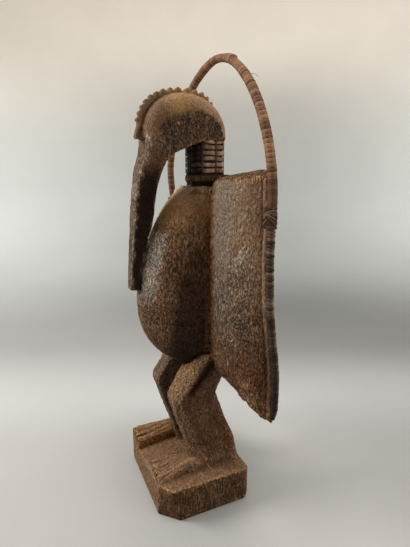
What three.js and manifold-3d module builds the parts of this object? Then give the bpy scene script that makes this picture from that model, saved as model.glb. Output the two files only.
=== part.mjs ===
// A carved wooden hornbill standing on its own base, with a wound cane hoop over its wings.
// Millimetres, +Z up. The bird faces -Y and its left wing points along +X.
// The origin is the middle of the base's underside.

import * as THREE from 'three';
import { mergeVertices } from 'three/addons/utils/BufferGeometryUtils.js';
import Module from 'manifold-3d';

const wasm = await Module();
wasm.setup();

// Driving dimensions
const BIRD_HEIGHT = 590; // top of the base to the highest tooth of the crest
const BASE_HEIGHT = 55;
const BASE_HALF_WIDTH = 96;
const TROUGH_DEPTH = 10.5; // floor between the toes, below the base's top
const TOE_GROOVE_WIDTH = 8;
const TOE_GROOVE_DEPTH = 4.5;
const WING_EDGE_THICKNESS = 10;
const RIM_WIDTH = 6.5; // raised border along each wing's outer edge
const RIM_RISE = 2.2;
const CREST_THICKNESS = 13;
const TOOTH_DEPTH = 7.2;
const SLEEVE_THICKNESS = 3; // plaited cane round the neck
const STRAND_HEIGHT = 5; // one plaited row
const HOOP_DIAMETER = 13;
const HOOP_RISE = 195.5; // from the springing to the crown's centre line
const ROD_DIAMETER = 11;
const LASHING_HEIGHT = 27;
const LASHING_THICKNESS = 2.7;
const CLEARANCE = 0.3; // between pieces that touch

// Counts
const TEETH = 14;
const STAKES = 10; // uprights of the plaited sleeve

// The figure is proportioned in fifty-ninths of its height. Heights below count from the base's top.
const unit = BIRD_HEIGHT / 59;
const heightOf = (z) => BASE_HEIGHT + z * unit;
const place = (x, y, z) => new THREE.Vector3(x * unit, y * unit, heightOf(z));

// Landmarks of the figure, in units
const CREASE_HALF = 6.0; // belly's edge against the wing
const BELLY_MIDDLE = 27.5;
const BELLY_DEPTH = 9.3;
const BELLY_BELOW = 11.1;
const BELLY_ABOVE = 17.7;
const WING_HALF = 16.4; // middle to a wing's outer edge
const NECK = { y: 3.8, halfX: 2.6, halfY: 2.48 };
const COLLAR = { bottom: 43.8, top: 46.9 };
const HEAD = { y: 0.3, z: 52.0, half: 3.0 };
const TOE_TIP = -7.3;
const HEEL = 7.1;
const SPRINGING = 43.5; // where the hoop starts to bend
const KNOT = 41.4;

// Materials
const COLOURS = { wood: 0x3f2a1c, sleeve: 0x7a5a46, cane: 0x7c4f38, rod: 0x4a3022, fibre: 0x3a2a20 };
function material(colour, roughness) {
  return new THREE.MeshStandardMaterial({ color: colour, roughness, metalness: 0 });
}

// Solids

// A smooth curve through [where, value] pairs, level beyond both ends
function through(pairs) {
  const last = pairs.length - 1;
  const rise = (i) => (pairs[i + 1][1] - pairs[i][1]) / (pairs[i + 1][0] - pairs[i][0]);
  const slope = (i) => {
    if (i === 0) return rise(0);
    if (i === last) return rise(last - 1);
    return (rise(i - 1) + rise(i)) / 2;
  };
  return (where) => {
    if (where <= pairs[0][0]) return pairs[0][1];
    if (where >= pairs[last][0]) return pairs[last][1];
    const i = pairs.findIndex((pair) => pair[0] > where) - 1;
    const width = pairs[i + 1][0] - pairs[i][0];
    const t = (where - pairs[i][0]) / width;
    const start = pairs[i][1] * (1 + 2 * t) * (1 - t) ** 2 + slope(i) * width * t * (1 - t) ** 2;
    const end = pairs[i + 1][1] * (3 - 2 * t) * t ** 2 - slope(i + 1) * width * (1 - t) * t ** 2;
    return start + end;
  };
}

// Straight lines through [where, value] pairs, for forms that were cut with flat strokes
function between(pairs) {
  return (where) => {
    const later = pairs.findIndex((pair) => pair[0] > where);
    const i = later < 1 ? pairs.length - 2 : later - 1;
    const t = (where - pairs[i][0]) / (pairs[i + 1][0] - pairs[i][0]);
    return THREE.MathUtils.lerp(pairs[i][1], pairs[i + 1][1], Math.min(t, 1));
  };
}

// Distance along the other axis of a quarter oval, from 1 at its middle to 0 at its end
const oval = (share, power) => (1 - Math.min(Math.abs(share), 1) ** power) ** (1 / power);

function steps(count, from, to) {
  return Array.from({ length: count + 1 }, (_, i) => THREE.MathUtils.lerp(from, to, i / count));
}

function toSolid(geometry) {
  const bare = geometry.clone();
  bare.deleteAttribute('normal');
  bare.deleteAttribute('uv');
  const merged = mergeVertices(bare, 1e-4);
  const mesh = new wasm.Mesh({
    numProp: 3,
    vertProperties: new Float32Array(merged.attributes.position.array),
    triVerts: new Uint32Array(merged.index.array),
  });
  return new wasm.Manifold(mesh);
}

function toMesh(name, solid, look) {
  const { vertProperties, triVerts } = solid.getMesh();
  const geometry = new THREE.BufferGeometry();
  geometry.setAttribute('position', new THREE.BufferAttribute(vertProperties, 3));
  geometry.setIndex(new THREE.BufferAttribute(triVerts, 1));
  geometry.computeVertexNormals();
  const mesh = new THREE.Mesh(geometry, look);
  mesh.name = name;
  return mesh;
}

// A closed skin over rings of points, with a fan of triangles on each end
function loft(rings) {
  const count = rings[0].length;
  const middle = (ring) => ring.reduce((sum, p) => sum.add(p), new THREE.Vector3()).divideScalar(count);
  const points = [...rings.flat(), middle(rings[0]), middle(rings[rings.length - 1])];
  const faces = [];
  for (let i = 0; i < rings.length - 1; i += 1) {
    for (let j = 0; j < count; j += 1) {
      const next = (j + 1) % count;
      const [a, b, c, d] = [i * count + j, i * count + next, (i + 1) * count + next, (i + 1) * count + j];
      faces.push([a, b, c], [a, c, d]);
    }
  }
  const top = (rings.length - 1) * count;
  for (let j = 0; j < count; j += 1) {
    const next = (j + 1) % count;
    faces.push([points.length - 2, next, j], [points.length - 1, top + j, top + next]);
  }
  const volume = faces.reduce((sum, [a, b, c]) => {
    return sum + new THREE.Vector3().crossVectors(points[b], points[c]).dot(points[a]);
  }, 0);
  const outward = volume > 0 ? faces : faces.map(([a, b, c]) => [a, c, b]);
  const geometry = new THREE.BufferGeometry().setFromPoints(points);
  geometry.setIndex(outward.flat());
  return toSolid(geometry);
}

// A plate of the given side-view outline, [y, z] in units, centred on x = 0
function plate(outline, thickness) {
  const shape = new THREE.Shape(outline.map(([y, z]) => new THREE.Vector2(y * unit, heightOf(z))));
  const geometry = new THREE.ExtrudeGeometry(shape, { depth: thickness, bevelEnabled: false });
  geometry.translate(0, 0, -thickness / 2);
  geometry.applyMatrix4(new THREE.Matrix4().set(0, 0, 1, 0, 1, 0, 0, 0, 0, 1, 0, 0, 0, 0, 0, 1));
  return toSolid(geometry);
}

// A round tube along a list of points, with flat ends
function tube(points, diameter, sides, cuts) {
  const path = new THREE.CatmullRomCurve3(points, false, 'centripetal');
  const section = new THREE.Shape(steps(sides, 0, 2 * Math.PI).slice(0, -1).map((angle) => (
    new THREE.Vector2(Math.cos(angle), Math.sin(angle)).multiplyScalar(diameter / 2))));
  return toSolid(new THREE.ExtrudeGeometry(section, { steps: cuts, extrudePath: path, curveSegments: 1 }));
}

const union = (solids) => solids.reduce((sum, solid) => sum.add(solid));

// Base: one block with its upright corners cut off, and a sunk floor between the toes
const baseFront = TOE_TIP * unit;
const baseBack = (HEEL + 0.45) * unit;
const LEFT_CUT = { along: 2.35, back: 1.5, lowAlong: 2.8, lowBack: 2.8 };
const RIGHT_CUT = 1.3;
const BACK_CUT = 0.7;
const UNDER_CUT = 0.5; // a worn lower corner at the back

function baseOutline(z, share) {
  const along = THREE.MathUtils.lerp(LEFT_CUT.lowAlong, LEFT_CUT.along, share) * unit;
  const back = THREE.MathUtils.lerp(LEFT_CUT.lowBack, LEFT_CUT.back, share) * unit;
  const worn = z === 0 ? BACK_CUT + UNDER_CUT : BACK_CUT;
  return [
    [-BASE_HALF_WIDTH, baseFront + RIGHT_CUT * unit],
    [-BASE_HALF_WIDTH + RIGHT_CUT * unit, baseFront],
    [BASE_HALF_WIDTH - along, baseFront],
    [BASE_HALF_WIDTH - along / 2, baseFront + back / 2],
    [BASE_HALF_WIDTH, baseFront + back],
    [BASE_HALF_WIDTH, baseBack - worn * unit],
    [BASE_HALF_WIDTH - worn * unit, baseBack],
    [-BASE_HALF_WIDTH + worn * unit, baseBack],
    [-BASE_HALF_WIDTH, baseBack - worn * unit],
  ].map(([x, y]) => new THREE.Vector3(x, y, z));
}

function block() {
  const heights = [0, UNDER_CUT * unit, BASE_HEIGHT * 0.4, BASE_HEIGHT * 0.7, BASE_HEIGHT];
  return loft(heights.map((z) => baseOutline(z, z / BASE_HEIGHT)));
}

function trough() {
  const FLOOR = { right: -3.9, left: 0, rightTop: -4.8, leftTop: 0.9 };
  const END = 1.8; // where the sloping floor meets the base's top
  const section = (y, floor) => [
    [FLOOR.rightTop, BASE_HEIGHT + unit],
    [FLOOR.right, floor],
    [FLOOR.left, floor],
    [FLOOR.leftTop, BASE_HEIGHT + unit],
  ].map(([x, z]) => new THREE.Vector3(x * unit, y * unit, z));
  return loft([section(TOE_TIP - 1, BASE_HEIGHT - TROUGH_DEPTH * 1.1), section(END, BASE_HEIGHT)]);
}

// Feet spread toward the toes. Each edge is how far it lies from the middle, by place along the foot.
const LEFT_FOOT = {
  side: 1,
  toes: 4,
  slant: 0.12, // toe tips step back toward the middle
  rise: 0, // how much higher the foot's inner edge was left
  inner: through([[TOE_TIP, 0.5], [-4.7, 0.8], [-2.8, 1.6], [-0.8, 2.1], [HEEL, 2.4]]),
  outer: through([[TOE_TIP, 7.3], [-4.2, 7.0], [-0.5, 6.85], [2, 6.85], [HEEL, 6.5]]),
};
const RIGHT_FOOT = {
  side: -1,
  toes: 3,
  slant: 0,
  rise: 0.35,
  inner: through([[TOE_TIP, 3.6], [0, 3.5], [HEEL, 3.2]]),
  outer: through([[TOE_TIP, 9.0], [-4, 8.0], [-0.5, 6.9], [HEEL, 6.5]]),
};
const ridgeHeight = through([
  [TOE_TIP, 0.7], [-5.5, 0.95], [-3.6, 1.45], [-1.6, 1.9], [0.5, 1.5], [3, 0.6], [HEEL, 0.3]]);
const innerHeight = through([[TOE_TIP, 0.25], [-4, 0.5], [-2.8, 0.65], [-0.8, 1.0], [HEEL, 0.5]]);
const RIDGE_INSET = 1.1; // outer edge to the ridge along the top of the foot
const INNER_EASE = 0.6;

function footTop(shape, x, y) {
  const [start, end] = [shape.inner(y) + INNER_EASE, shape.outer(y) - RIDGE_INSET];
  const across = THREE.MathUtils.clamp((x - start) / (end - start), 0, 1);
  return THREE.MathUtils.lerp(innerHeight(y) + shape.rise, ridgeHeight(y), across);
}

function foot(shape) {
  const BURIED = -1.2;
  const section = (y) => {
    const [inner, outer] = [shape.inner(y), shape.outer(y)];
    return [
      [inner, BURIED],
      [outer, BURIED],
      [outer, 0.05],
      [outer - 0.4, ridgeHeight(y) * 0.65],
      [outer - RIDGE_INSET, ridgeHeight(y)],
      [(inner + outer) / 2, footTop(shape, (inner + outer) / 2, y)],
      [inner + INNER_EASE, innerHeight(y) + shape.rise],
    ].map(([x, z]) => place(shape.side * x, y + shape.slant * (outer - x), z));
  };
  return loft([TOE_TIP, -6.4, -5.5, -4.5, -3.6, -2.6, -1.6, -0.4, 2.5, HEEL].map(section));
}

function toeGrooves(shape) {
  const GROOVE_END = -3.4;
  const width = TOE_GROOVE_WIDTH / 2;
  return steps(shape.toes - 2, 1, shape.toes - 1).map((toe) => {
    const section = (y, lift) => {
      const across = THREE.MathUtils.lerp(shape.inner(y), shape.outer(y), toe / shape.toes);
      const surface = heightOf(footTop(shape, across, y)) + lift;
      const behind = shape.slant * (shape.outer(y) - across);
      return [[-width, 0.2 * unit], [width, 0.2 * unit], [0, -TOE_GROOVE_DEPTH]].map(([x, z]) => (
        new THREE.Vector3(shape.side * across * unit + x, (y + behind) * unit, surface + z)));
    };
    return loft([section(TOE_TIP - 0.3, 0), section(-5.2, 0), section(GROOVE_END, TOE_GROOVE_DEPTH)]);
  });
}

// Legs: broad flat-cut planks seen from the side, with bent knees
const legFront = between([
  [-0.3, -0.35], [4.3, -1.5], [7.9, -2.75], [12.1, -4.0], [12.9, -3.95], [19.5, 0.4]]);
const legBack = between([
  [-0.3, 7.25], [1.5, 6.95], [4.3, 6.45], [8.1, 4.75], [13.0, 3.0], [15.5, 4.4], [19.5, 5.9]]);
const legInner = between([[-0.3, 2.5], [12, 2.3], [19.5, 1.9]]);
const legOuter = between([[-0.3, 7.2], [0.8, 6.65], [5, 6.2], [13, 6.3], [19.5, 6.4]]);
const shinBevel = between([[-0.3, 1.9], [8, 1.5], [12.5, 1.0], [19.5, 1.3]]);

function leg(side) {
  const BACK_BEVEL = 0.6;
  const section = (z) => {
    const [front, back, inner, outer] = [legFront(z), legBack(z), legInner(z), legOuter(z)];
    const bevel = shinBevel(z);
    return [
      [inner + 0.3, front],
      [outer - bevel, front],
      [outer, front + bevel],
      [outer, back - BACK_BEVEL],
      [outer - BACK_BEVEL, back],
      [inner + BACK_BEVEL, back],
      [inner, back - BACK_BEVEL],
      [inner, front + 0.3],
    ].map(([x, y]) => place(side * x, y, z));
  };
  return loft([-0.3, 0.8, 1.5, 4.3, 7.9, 10, 12.1, 12.9, 14.2, 16, 19.5].map(section));
}

// Belly: a swollen egg whose back half is sunk in the wing board
const creaseY = through([[15, 2.5], [20, 2.0], [28, 1.75], [46, 1.75]]);

function belly() {
  const FULLNESS = { lowDepth: 2.15, highDepth: 1.65, lowWidth: 3.2, highWidth: 4.5 };
  const SUNK = 2.6;
  const CLOSE = 0.992; // the end rings stop just short of the poles
  const ring = (share) => {
    const reach = share < 0 ? BELLY_BELOW : BELLY_ABOVE;
    const z = BELLY_MIDDLE + share * reach;
    const depth = BELLY_DEPTH * oval(share, share < 0 ? FULLNESS.lowDepth : FULLNESS.highDepth);
    const half = CREASE_HALF * oval(share, share < 0 ? FULLNESS.lowWidth : FULLNESS.highWidth);
    const front = steps(20, 0, Math.PI).map((turn) => (
      place(half * Math.cos(turn), creaseY(z) - depth * Math.sin(turn), z)));
    return [...front, place(-half, creaseY(z) + SUNK, z), place(half, creaseY(z) + SUNK, z)];
  };
  const shares = steps(20, -1, 1).map((t) => CLOSE * Math.sin((t * Math.PI) / 2));
  return loft(shares.map(ring));
}

// Wing board: one thick board behind the belly, thinning to each wing's outer edge
const edgeY = through([
  [12.5, 6.5], [17, 6.7], [21, 6.55], [25.4, 5.95], [29.6, 5.42], [36, 5.15], [43, 5.1], [46, 4.65]]);
const edgeTuck = through([[43.3, 0], [45.3, 0.1], [47.2, 0.38]]); // the top corner gives way to the hoop
const spineY = through([[12.5, 7.9], [30, 7.6], [47, 7.2]]);
const lowerEdge = through([
  [0, 16.6], [6, 17.5], [8.5, 16.4], [10.5, 15.3], [12.8, 13.6], [14.6, 12.65], [16.4, 12.5]]);
const upperFront = through([[0, 44.2], [5.2, 44.3], [6.2, 45.2], [7.2, 45.75], [13, 46.1], [16.4, 46.3]]);
const upperBack = through([[0, 46.8], [4, 46.8], [10, 47.0], [15, 47.3], [16.4, 47.1]]);
const RIGHT_DROP = 2.4; // how much lower the right wing's outer corner was cut
const dropAt = (x) => RIGHT_DROP * (Math.max(0, -x - NECK.halfX) / (WING_HALF - NECK.halfX)) ** 0.6;
const RIGHT_SWEEP = 0.4; // how much further forward the right wing's edge stands
const sweepAt = (x) => (x < 0 ? RIGHT_SWEEP * (x / WING_HALF) ** 2 : 0);
const RIM_SINK = 0.3; // front of the rim, ahead of the cane's centre line

function wingFront(x, z) {
  const GROOVE = 0.45; // depth of the valley along the belly
  const sweep = THREE.MathUtils.clamp((x - CREASE_HALF) / (WING_HALF - CREASE_HALF), 0, 1);
  const valley = GROOVE * Math.max(0, 1 - Math.abs(x - CREASE_HALF) / 0.9);
  const rimFront = edgeY(z) - RIM_SINK;
  const face = THREE.MathUtils.lerp(creaseY(z) - 0.1, rimFront, sweep ** 1.45);
  const recess = x * unit > WING_HALF * unit - RIM_WIDTH ? 0 : RIM_RISE / unit;
  return face + recess * THREE.MathUtils.smoothstep(sweep, 0.2, 0.8) + valley;
}

function wingBack(x, z) {
  const edge = edgeY(z) - RIM_SINK + WING_EDGE_THICKNESS / unit;
  return THREE.MathUtils.lerp(spineY(z), edge, (x / WING_HALF) ** 2);
}

function wingBoard() {
  const rimStart = WING_HALF - RIM_WIDTH / unit;
  const ROUND = 0.25; // eased edges
  const rows = steps(12, 0, 1);
  const section = (x) => {
    const out = Math.abs(x);
    const tucked = (z) => x - Math.sign(x) * edgeTuck(z) * (out / WING_HALF) ** 6;
    const low = lowerEdge(out);
    const [highFront, highBack] = [upperFront(out) - dropAt(x), upperBack(out) - dropAt(x)];
    const front = rows.map((row) => {
      const z = THREE.MathUtils.lerp(low, highFront, row);
      const ease = row === 0 || row === 1 ? ROUND : 0;
      return place(tucked(z), wingFront(out, z) + ease - sweepAt(x), z);
    });
    const back = rows.map((row) => {
      const z = THREE.MathUtils.lerp(highBack, low, row);
      const ease = row === 0 || row === 1 ? ROUND : 0;
      return place(tucked(z), wingBack(out, z) - ease - sweepAt(x), z);
    });
    const shoulderY = wingFront(out, highFront) + 0.7 - sweepAt(x);
    const frontShoulder = place(tucked(highFront), shoulderY, highFront + 0.3);
    return [...front, frontShoulder, ...back];
  };
  const plain = [0, 2.5, 5.3, 6.0, 6.5, 7.0, 7.8, 9, 10.5, 12, 13.5, 14.7];
  const outward = [...plain, rimStart - 0.12, rimStart, 16.2, WING_HALF];
  const inward = outward.slice(1).reverse().map((x) => -x);
  return loft([...inward, ...outward].map(section));
}

// Neck and collar: rounded octagons
function neckRing(z, grow, points) {
  const SQUARENESS = 3;
  return steps(points, 0, 2 * Math.PI).slice(0, -1).map((turn) => {
    const [c, s] = [Math.cos(turn), Math.sin(turn)];
    const reach = (Math.abs(c) ** SQUARENESS + Math.abs(s) ** SQUARENESS) ** (-1 / SQUARENESS);
    const x = (NECK.halfX * unit + grow(turn)) * reach * c;
    const y = NECK.y * unit + (NECK.halfY * unit + grow(turn)) * reach * s;
    return new THREE.Vector3(x, y, z);
  });
}

function neck() {
  const flare = SLEEVE_THICKNESS;
  const plain = (z, grow) => neckRing(heightOf(z), () => grow, 16);
  const { bottom, top } = COLLAR;
  const collar = loft([plain(bottom, flare), plain(top - 0.3, flare), plain(top, flare - 1)]);
  return collar.add(loft([plain(top - 1, 0), plain(HEAD.z + 0.5, 0)]));
}

// Head: flat cheeks under a rounded cap
const CHEEK = { front: 5.5, back: 5.2, high: 3.3, frontPower: 1.8, backPower: 2.6 };
const CAP = { front: 6.45, back: 6.1, high: 6.2, frontPower: 2.15, backPower: 2.2 };
const jaw = [[5.8, 51.6], [2.8, 51.6], [1.4, 51.15], [0.0, 50.6], [-1.3, 50.1], [-2.2, 49.6]];

function capOutline(roundness, count) {
  const mix = (key) => THREE.MathUtils.lerp(CHEEK[key], CAP[key], roundness);
  return steps(count, 0, Math.PI).map((turn) => {
    const [c, s] = [Math.cos(turn), Math.sin(turn)];
    const ahead = c > 0;
    const power = 2 / mix(ahead ? 'frontPower' : 'backPower');
    const reach = mix(ahead ? 'front' : 'back');
    const y = HEAD.y - Math.sign(c) * reach * Math.abs(c) ** power;
    return [y, HEAD.z + mix('high') * Math.max(s, 0) ** power];
  });
}

function head() {
  const section = (x) => {
    const roundness = oval(x / HEAD.half, 2.2);
    const cap = capOutline(roundness, 20);
    const chin = [Math.max(cap[0][0] + 0.9, -5.3), HEAD.z - 0.9];
    return [...cap, ...jaw, chin].map(([y, z]) => place(x, y, z));
  };
  const outward = [0, 0.9, 1.6, 2.2, 2.6, 2.85, 2.97, HEAD.half];
  const inward = outward.slice(1).reverse().map((x) => -x);
  return loft([...inward, ...outward].map(section));
}

// Crest: a toothed comb from the brow to the back of the cap
function crest() {
  const COMB = { front: 7.0, high: 6.08, power: 2.25 };
  const INSET = 1.2; // how deep the comb's root lies in the cap
  const [START, END] = [0.07 * Math.PI, 0.73 * Math.PI];
  const POINTS_PER_TOOTH = 6;
  const arc = (turn, grow) => {
    const [c, s] = [Math.cos(turn), Math.sin(turn)];
    const power = 2 / COMB.power;
    const y = HEAD.y - Math.sign(c) * (COMB.front + grow) * Math.abs(c) ** power;
    return [y, HEAD.z + 0.2 + (COMB.high + grow) * s ** power];
  };
  const teeth = steps(TEETH * POINTS_PER_TOOTH, 0, 1).map((share) => {
    const grown = THREE.MathUtils.lerp(0.6, 1, THREE.MathUtils.smoothstep(share, 0, 0.35));
    const bump = grown * Math.abs(Math.sin(share * TEETH * Math.PI)) ** 0.85;
    const sink = 1.5 * THREE.MathUtils.smoothstep(share, 0.8, 1);
    return arc(THREE.MathUtils.lerp(START, END, share), (bump * TOOTH_DEPTH) / unit - sink * 0.4);
  });
  const root = steps(14, END, START).map((turn) => arc(turn, -INSET));
  const brow = [[-4.6, 51.6], [-7.1, 51.7], [-7.15, 52.1]];
  return plate([...brow, ...teeth, ...root], CREST_THICKNESS);
}

// Beak: a long curved blade from the brow down to the belly
const beakFront = through([
  [29.7, -8.8], [33.5, -8.5], [37.4, -8.2], [43, -7.67], [45.2, -7.35], [47.6, -6.8],
  [49.8, -6.0], [51.4, -5.85], [53.3, -6.1]]);
const beakBack = through([
  [29.7, -7.3], [32.4, -7.1], [36.7, -6.1], [40.4, -5.05], [43.9, -4.65], [45.7, -4.3],
  [47.3, -3.8], [48.5, -3.3], [49.7, -2.2], [51.4, 0.5], [53.3, 0.5]]);
const beakHalf = through([
  [29.7, 1.05], [33.5, 1.38], [40.5, 1.68], [43, 1.78], [45.2, 2.1], [47.6, 2.55],
  [49.8, 2.95], [51.4, 2.9], [53.3, 2.1]]);

function beak() {
  const EASE = 0.28;
  const section = (z) => {
    const [front, back, half] = [beakFront(z), beakBack(z), beakHalf(z)];
    return [
      [-half, front + EASE],
      [-half + EASE, front],
      [half - EASE, front],
      [half, front + EASE],
      [half, back - EASE / 2],
      [half - EASE / 2, back],
      [-half + EASE / 2, back],
      [-half, back - EASE / 2],
    ].map(([x, y]) => place(x, y, z));
  };
  const crowded = [46.5, 47.5, 48.4, 49.2, 49.9, 50.6, 51.4, 52.4, 53.3];
  return loft([...steps(12, 29.7, 45.5), ...crowded].map(section));
}

// The figure and its base, carved from one block
function carvedFigure() {
  const feet = [LEFT_FOOT, RIGHT_FOOT];
  const room = loft([BASE_HEIGHT / 2, BASE_HEIGHT + 3 * unit].map((z) => baseOutline(z, 1)));
  const toes = union(feet.map(foot)).intersect(room).subtract(union(feet.flatMap(toeGrooves)));
  const ground = block().subtract(trough()).add(toes);
  return union([ground, leg(1), leg(-1), belly(), wingBoard(), neck(), head(), crest(), beak()]);
}

// Plaited sleeve round the neck, each row over one upright and under the next
function neckSleeve(figure) {
  const WEAVE = 0.9; // how far a strand bulges over an upright
  const POINTS = STAKES * 2;
  const bottom = heightOf(COLLAR.top) + CLEARANCE;
  const top = heightOf(HEAD.z);
  const rowCount = Math.round((top - bottom) / STRAND_HEIGHT);
  const inner = CLEARANCE;
  const bulge = (row) => (turn) => {
    const over = Math.cos(turn * STAKES + row * Math.PI);
    return inner + SLEEVE_THICKNESS - WEAVE + WEAVE * THREE.MathUtils.clamp(over * 2, 0, 1);
  };
  const outside = [];
  for (let row = 0; row < rowCount; row += 1) {
    const low = bottom + row * STRAND_HEIGHT;
    const groove = () => inner + SLEEVE_THICKNESS - WEAVE;
    outside.push(neckRing(low, groove, POINTS));
    outside.push(neckRing(low + STRAND_HEIGHT * 0.25, bulge(row), POINTS));
    outside.push(neckRing(low + STRAND_HEIGHT * 0.75, bulge(row), POINTS));
  }
  outside.push(neckRing(bottom + rowCount * STRAND_HEIGHT, () => inner + SLEEVE_THICKNESS - WEAVE, POINTS));
  const hollow = loft([bottom - unit, bottom + (rowCount + 1) * STRAND_HEIGHT].map((z) => (
    neckRing(z, () => inner, 16))));
  const lowered = figure.translate([0, 0, -CLEARANCE]);
  return loft(outside).subtract(hollow).subtract(lowered).subtract(figure.translate([0, 0, CLEARANCE]));
}

// Cane hoop from one wing's knot to the other, and the cane along each wing's outer edge
const caneX = (diameter) => WING_HALF * unit + CLEARANCE + diameter / 2;
const caneY = (side, z) => (edgeY(z) - sweepAt(side * WING_HALF)) * unit;

function hoop() {
  const lean = through([
    [0, 5.1], [0.3, 4.75], [0.45, 5.05], [0.57, 5.3], [0.68, 5.05], [0.8, 4.5], [0.92, 4.15], [1, 4.67]]);
  const x = caneX(HOOP_DIAMETER);
  const foot = (side) => [KNOT + 0.1, 42.2, 42.9].map((z) => (
    new THREE.Vector3(side * x, caneY(side, KNOT), heightOf(z))));
  const arch = steps(24, 0, 1).map((share) => {
    const [out, rise] = [Math.cos(share * Math.PI), Math.sin(share * Math.PI)];
    return new THREE.Vector3(x * out, lean(share) * unit, heightOf(SPRINGING) + HOOP_RISE * rise);
  });
  return tube([...foot(1), ...arch, ...foot(-1).reverse()], HOOP_DIAMETER, 10, 44);
}

function edgeRod(side) {
  const ROD_END = 13.3;
  const x = side * caneX(ROD_DIAMETER);
  const points = steps(10, ROD_END, KNOT - 0.1).map((z) => (
    new THREE.Vector3(x, caneY(side, z), heightOf(z))));
  return tube(points, ROD_DIAMETER, 8, 20);
}

// Lashing: a bound knot round the hoop's foot, the rod's top and the wing's edge
function lashing(side, board) {
  const REACH = 0.35; // how far it lies over the wing's face
  const middle = side * caneX(HOOP_DIAMETER);
  const centreY = caneY(side, KNOT);
  const caneRadius = Math.max(HOOP_DIAMETER, ROD_DIAMETER) / 2;
  const ring = (radiusX, radiusY, shift, z) => steps(16, 0, 2 * Math.PI).slice(0, -1).map((turn) => {
    const x = middle + side * shift + radiusX * Math.cos(turn);
    return new THREE.Vector3(x, centreY + radiusY * Math.sin(turn), z);
  });
  const bound = (share) => {
    const thick = LASHING_THICKNESS * oval(share, 2.5) * 0.75 + LASHING_THICKNESS * 0.25;
    const reach = REACH * unit;
    const z = heightOf(KNOT) + (share * LASHING_HEIGHT) / 2;
    return ring(caneRadius + thick + reach / 2, caneRadius + thick, -reach / 2, z);
  };
  const outer = loft(steps(6, -1, 1).map(bound));
  const bore = loft([-1, 1].map((end) => (
    ring(caneRadius + CLEARANCE, caneRadius + CLEARANCE, 0, heightOf(KNOT) + end * LASHING_HEIGHT))));
  const nudges = [[side, 0], [0, 1], [0, -1]];
  return nudges.reduce((solid, [x, y]) => (
    solid.subtract(board.translate([x * CLEARANCE, y * CLEARANCE, 0]))), outer.subtract(bore));
}

const figure = carvedFigure();
const board = wingBoard();
const group = new THREE.Group();
group.add(
  toMesh('carved_figure', figure, material(COLOURS.wood, 0.7)),
  toMesh('neck_sleeve', neckSleeve(figure), material(COLOURS.sleeve, 0.65)),
  toMesh('cane_hoop', hoop(), material(COLOURS.cane, 0.6)),
  toMesh('left_edge_rod', edgeRod(1), material(COLOURS.rod, 0.65)),
  toMesh('right_edge_rod', edgeRod(-1), material(COLOURS.rod, 0.65)),
  toMesh('left_lashing', lashing(1, board), material(COLOURS.fibre, 0.8)),
  toMesh('right_lashing', lashing(-1, board), material(COLOURS.fibre, 0.8)),
);

export default group;
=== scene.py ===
from contextlib import contextmanager
import math

import bpy
import bmesh
import numpy as np
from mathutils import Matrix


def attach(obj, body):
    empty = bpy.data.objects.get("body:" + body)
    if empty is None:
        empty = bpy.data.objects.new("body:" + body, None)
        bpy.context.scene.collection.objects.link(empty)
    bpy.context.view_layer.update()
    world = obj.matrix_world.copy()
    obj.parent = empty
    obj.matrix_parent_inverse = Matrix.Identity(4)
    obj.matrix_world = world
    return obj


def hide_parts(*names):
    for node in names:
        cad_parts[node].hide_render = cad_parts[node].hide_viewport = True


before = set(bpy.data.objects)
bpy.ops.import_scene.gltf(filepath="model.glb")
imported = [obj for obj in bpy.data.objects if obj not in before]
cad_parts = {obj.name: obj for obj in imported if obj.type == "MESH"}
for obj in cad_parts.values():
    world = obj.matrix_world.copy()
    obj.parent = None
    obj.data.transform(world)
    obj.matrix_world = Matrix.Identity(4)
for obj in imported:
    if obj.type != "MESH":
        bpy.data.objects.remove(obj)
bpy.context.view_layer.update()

# A carved wooden hornbill with a wound cane hoop. Shapes are worked out in millimetres and
# made in metres. The bird faces -Y and its left wing points along +X. Every span, line and
# table below that has no other unit is in millimetres of that frame.
MM = 0.001
PER_METRE = 1000
FULL_TURN = 2 * math.pi
scene = bpy.context.scene

# The camera, at the photograph's angle: metres, degrees and millimetres of lens
CAMERA_AT = (0.589, -0.2285, 0.513)
CAMERA_TILT, CAMERA_HEADING = 77.13, 65.6
LENS, SENSOR_WIDTH = 26.61, 36

# Across the camera's view to the right, and away from it, both along the floor
ASIDE, AWAY = (0.413, 0.911, 0), (-0.911, 0.413, 0)


# Number fields, all on arrays of points

HASH_STEPS = (374761393, 668265263, 1440662683)  # one for each axis
HASH_SEED, HASH_MIX, WORD = 974634777, 1274126177, 0xFFFFFFFF
RIDGE = 0.85  # how far the ridge between two tool marks lies from their middles, in marks


def clamp(value, low=0.0, high=1.0):
    return np.minimum(np.maximum(value, low), high)


def smooth(value, start, end):
    """0 up to start and 1 from end on, with a soft step between them."""
    t = clamp((value - start) / (end - start))
    return t * t * (3 - 2 * t)


def fall(value, start, end):
    """1 up to start and 0 from end on."""
    return 1 - smooth(value, start, end)


def bump_at(value, centre, width):
    """1 at the centre, falling to 0 at width on either side."""
    return fall(np.abs(value - centre), 0, width)


def mix(a, b, share):
    return a + (b - a) * share


def lattice(cell, seed):
    """A fixed pseudo-random number from 0 to 1 for each whole-numbered cell."""
    h = sum(cell[:, i].astype(np.int64) * HASH_STEPS[i] for i in range(3))
    h = (h + seed * HASH_SEED) & WORD
    h = ((h ^ (h >> 13)) * HASH_MIX) & WORD
    return (h ^ (h >> 16)) / (WORD + 1)


def noise(points, size, seed):
    """Smooth noise from 0 to 1; size is its grain, one number or one per axis."""
    p = points / np.asarray(size, float)
    base = np.floor(p)
    f = p - base
    f = f * f * (3 - 2 * f)
    total = np.zeros(len(p))
    for corner in range(8):
        step = np.array([corner & 1, corner >> 1 & 1, corner >> 2 & 1])
        weight = np.prod(np.where(step == 1, f, 1 - f), axis=1)
        total += weight * lattice(base + step, seed)
    return total


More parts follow.
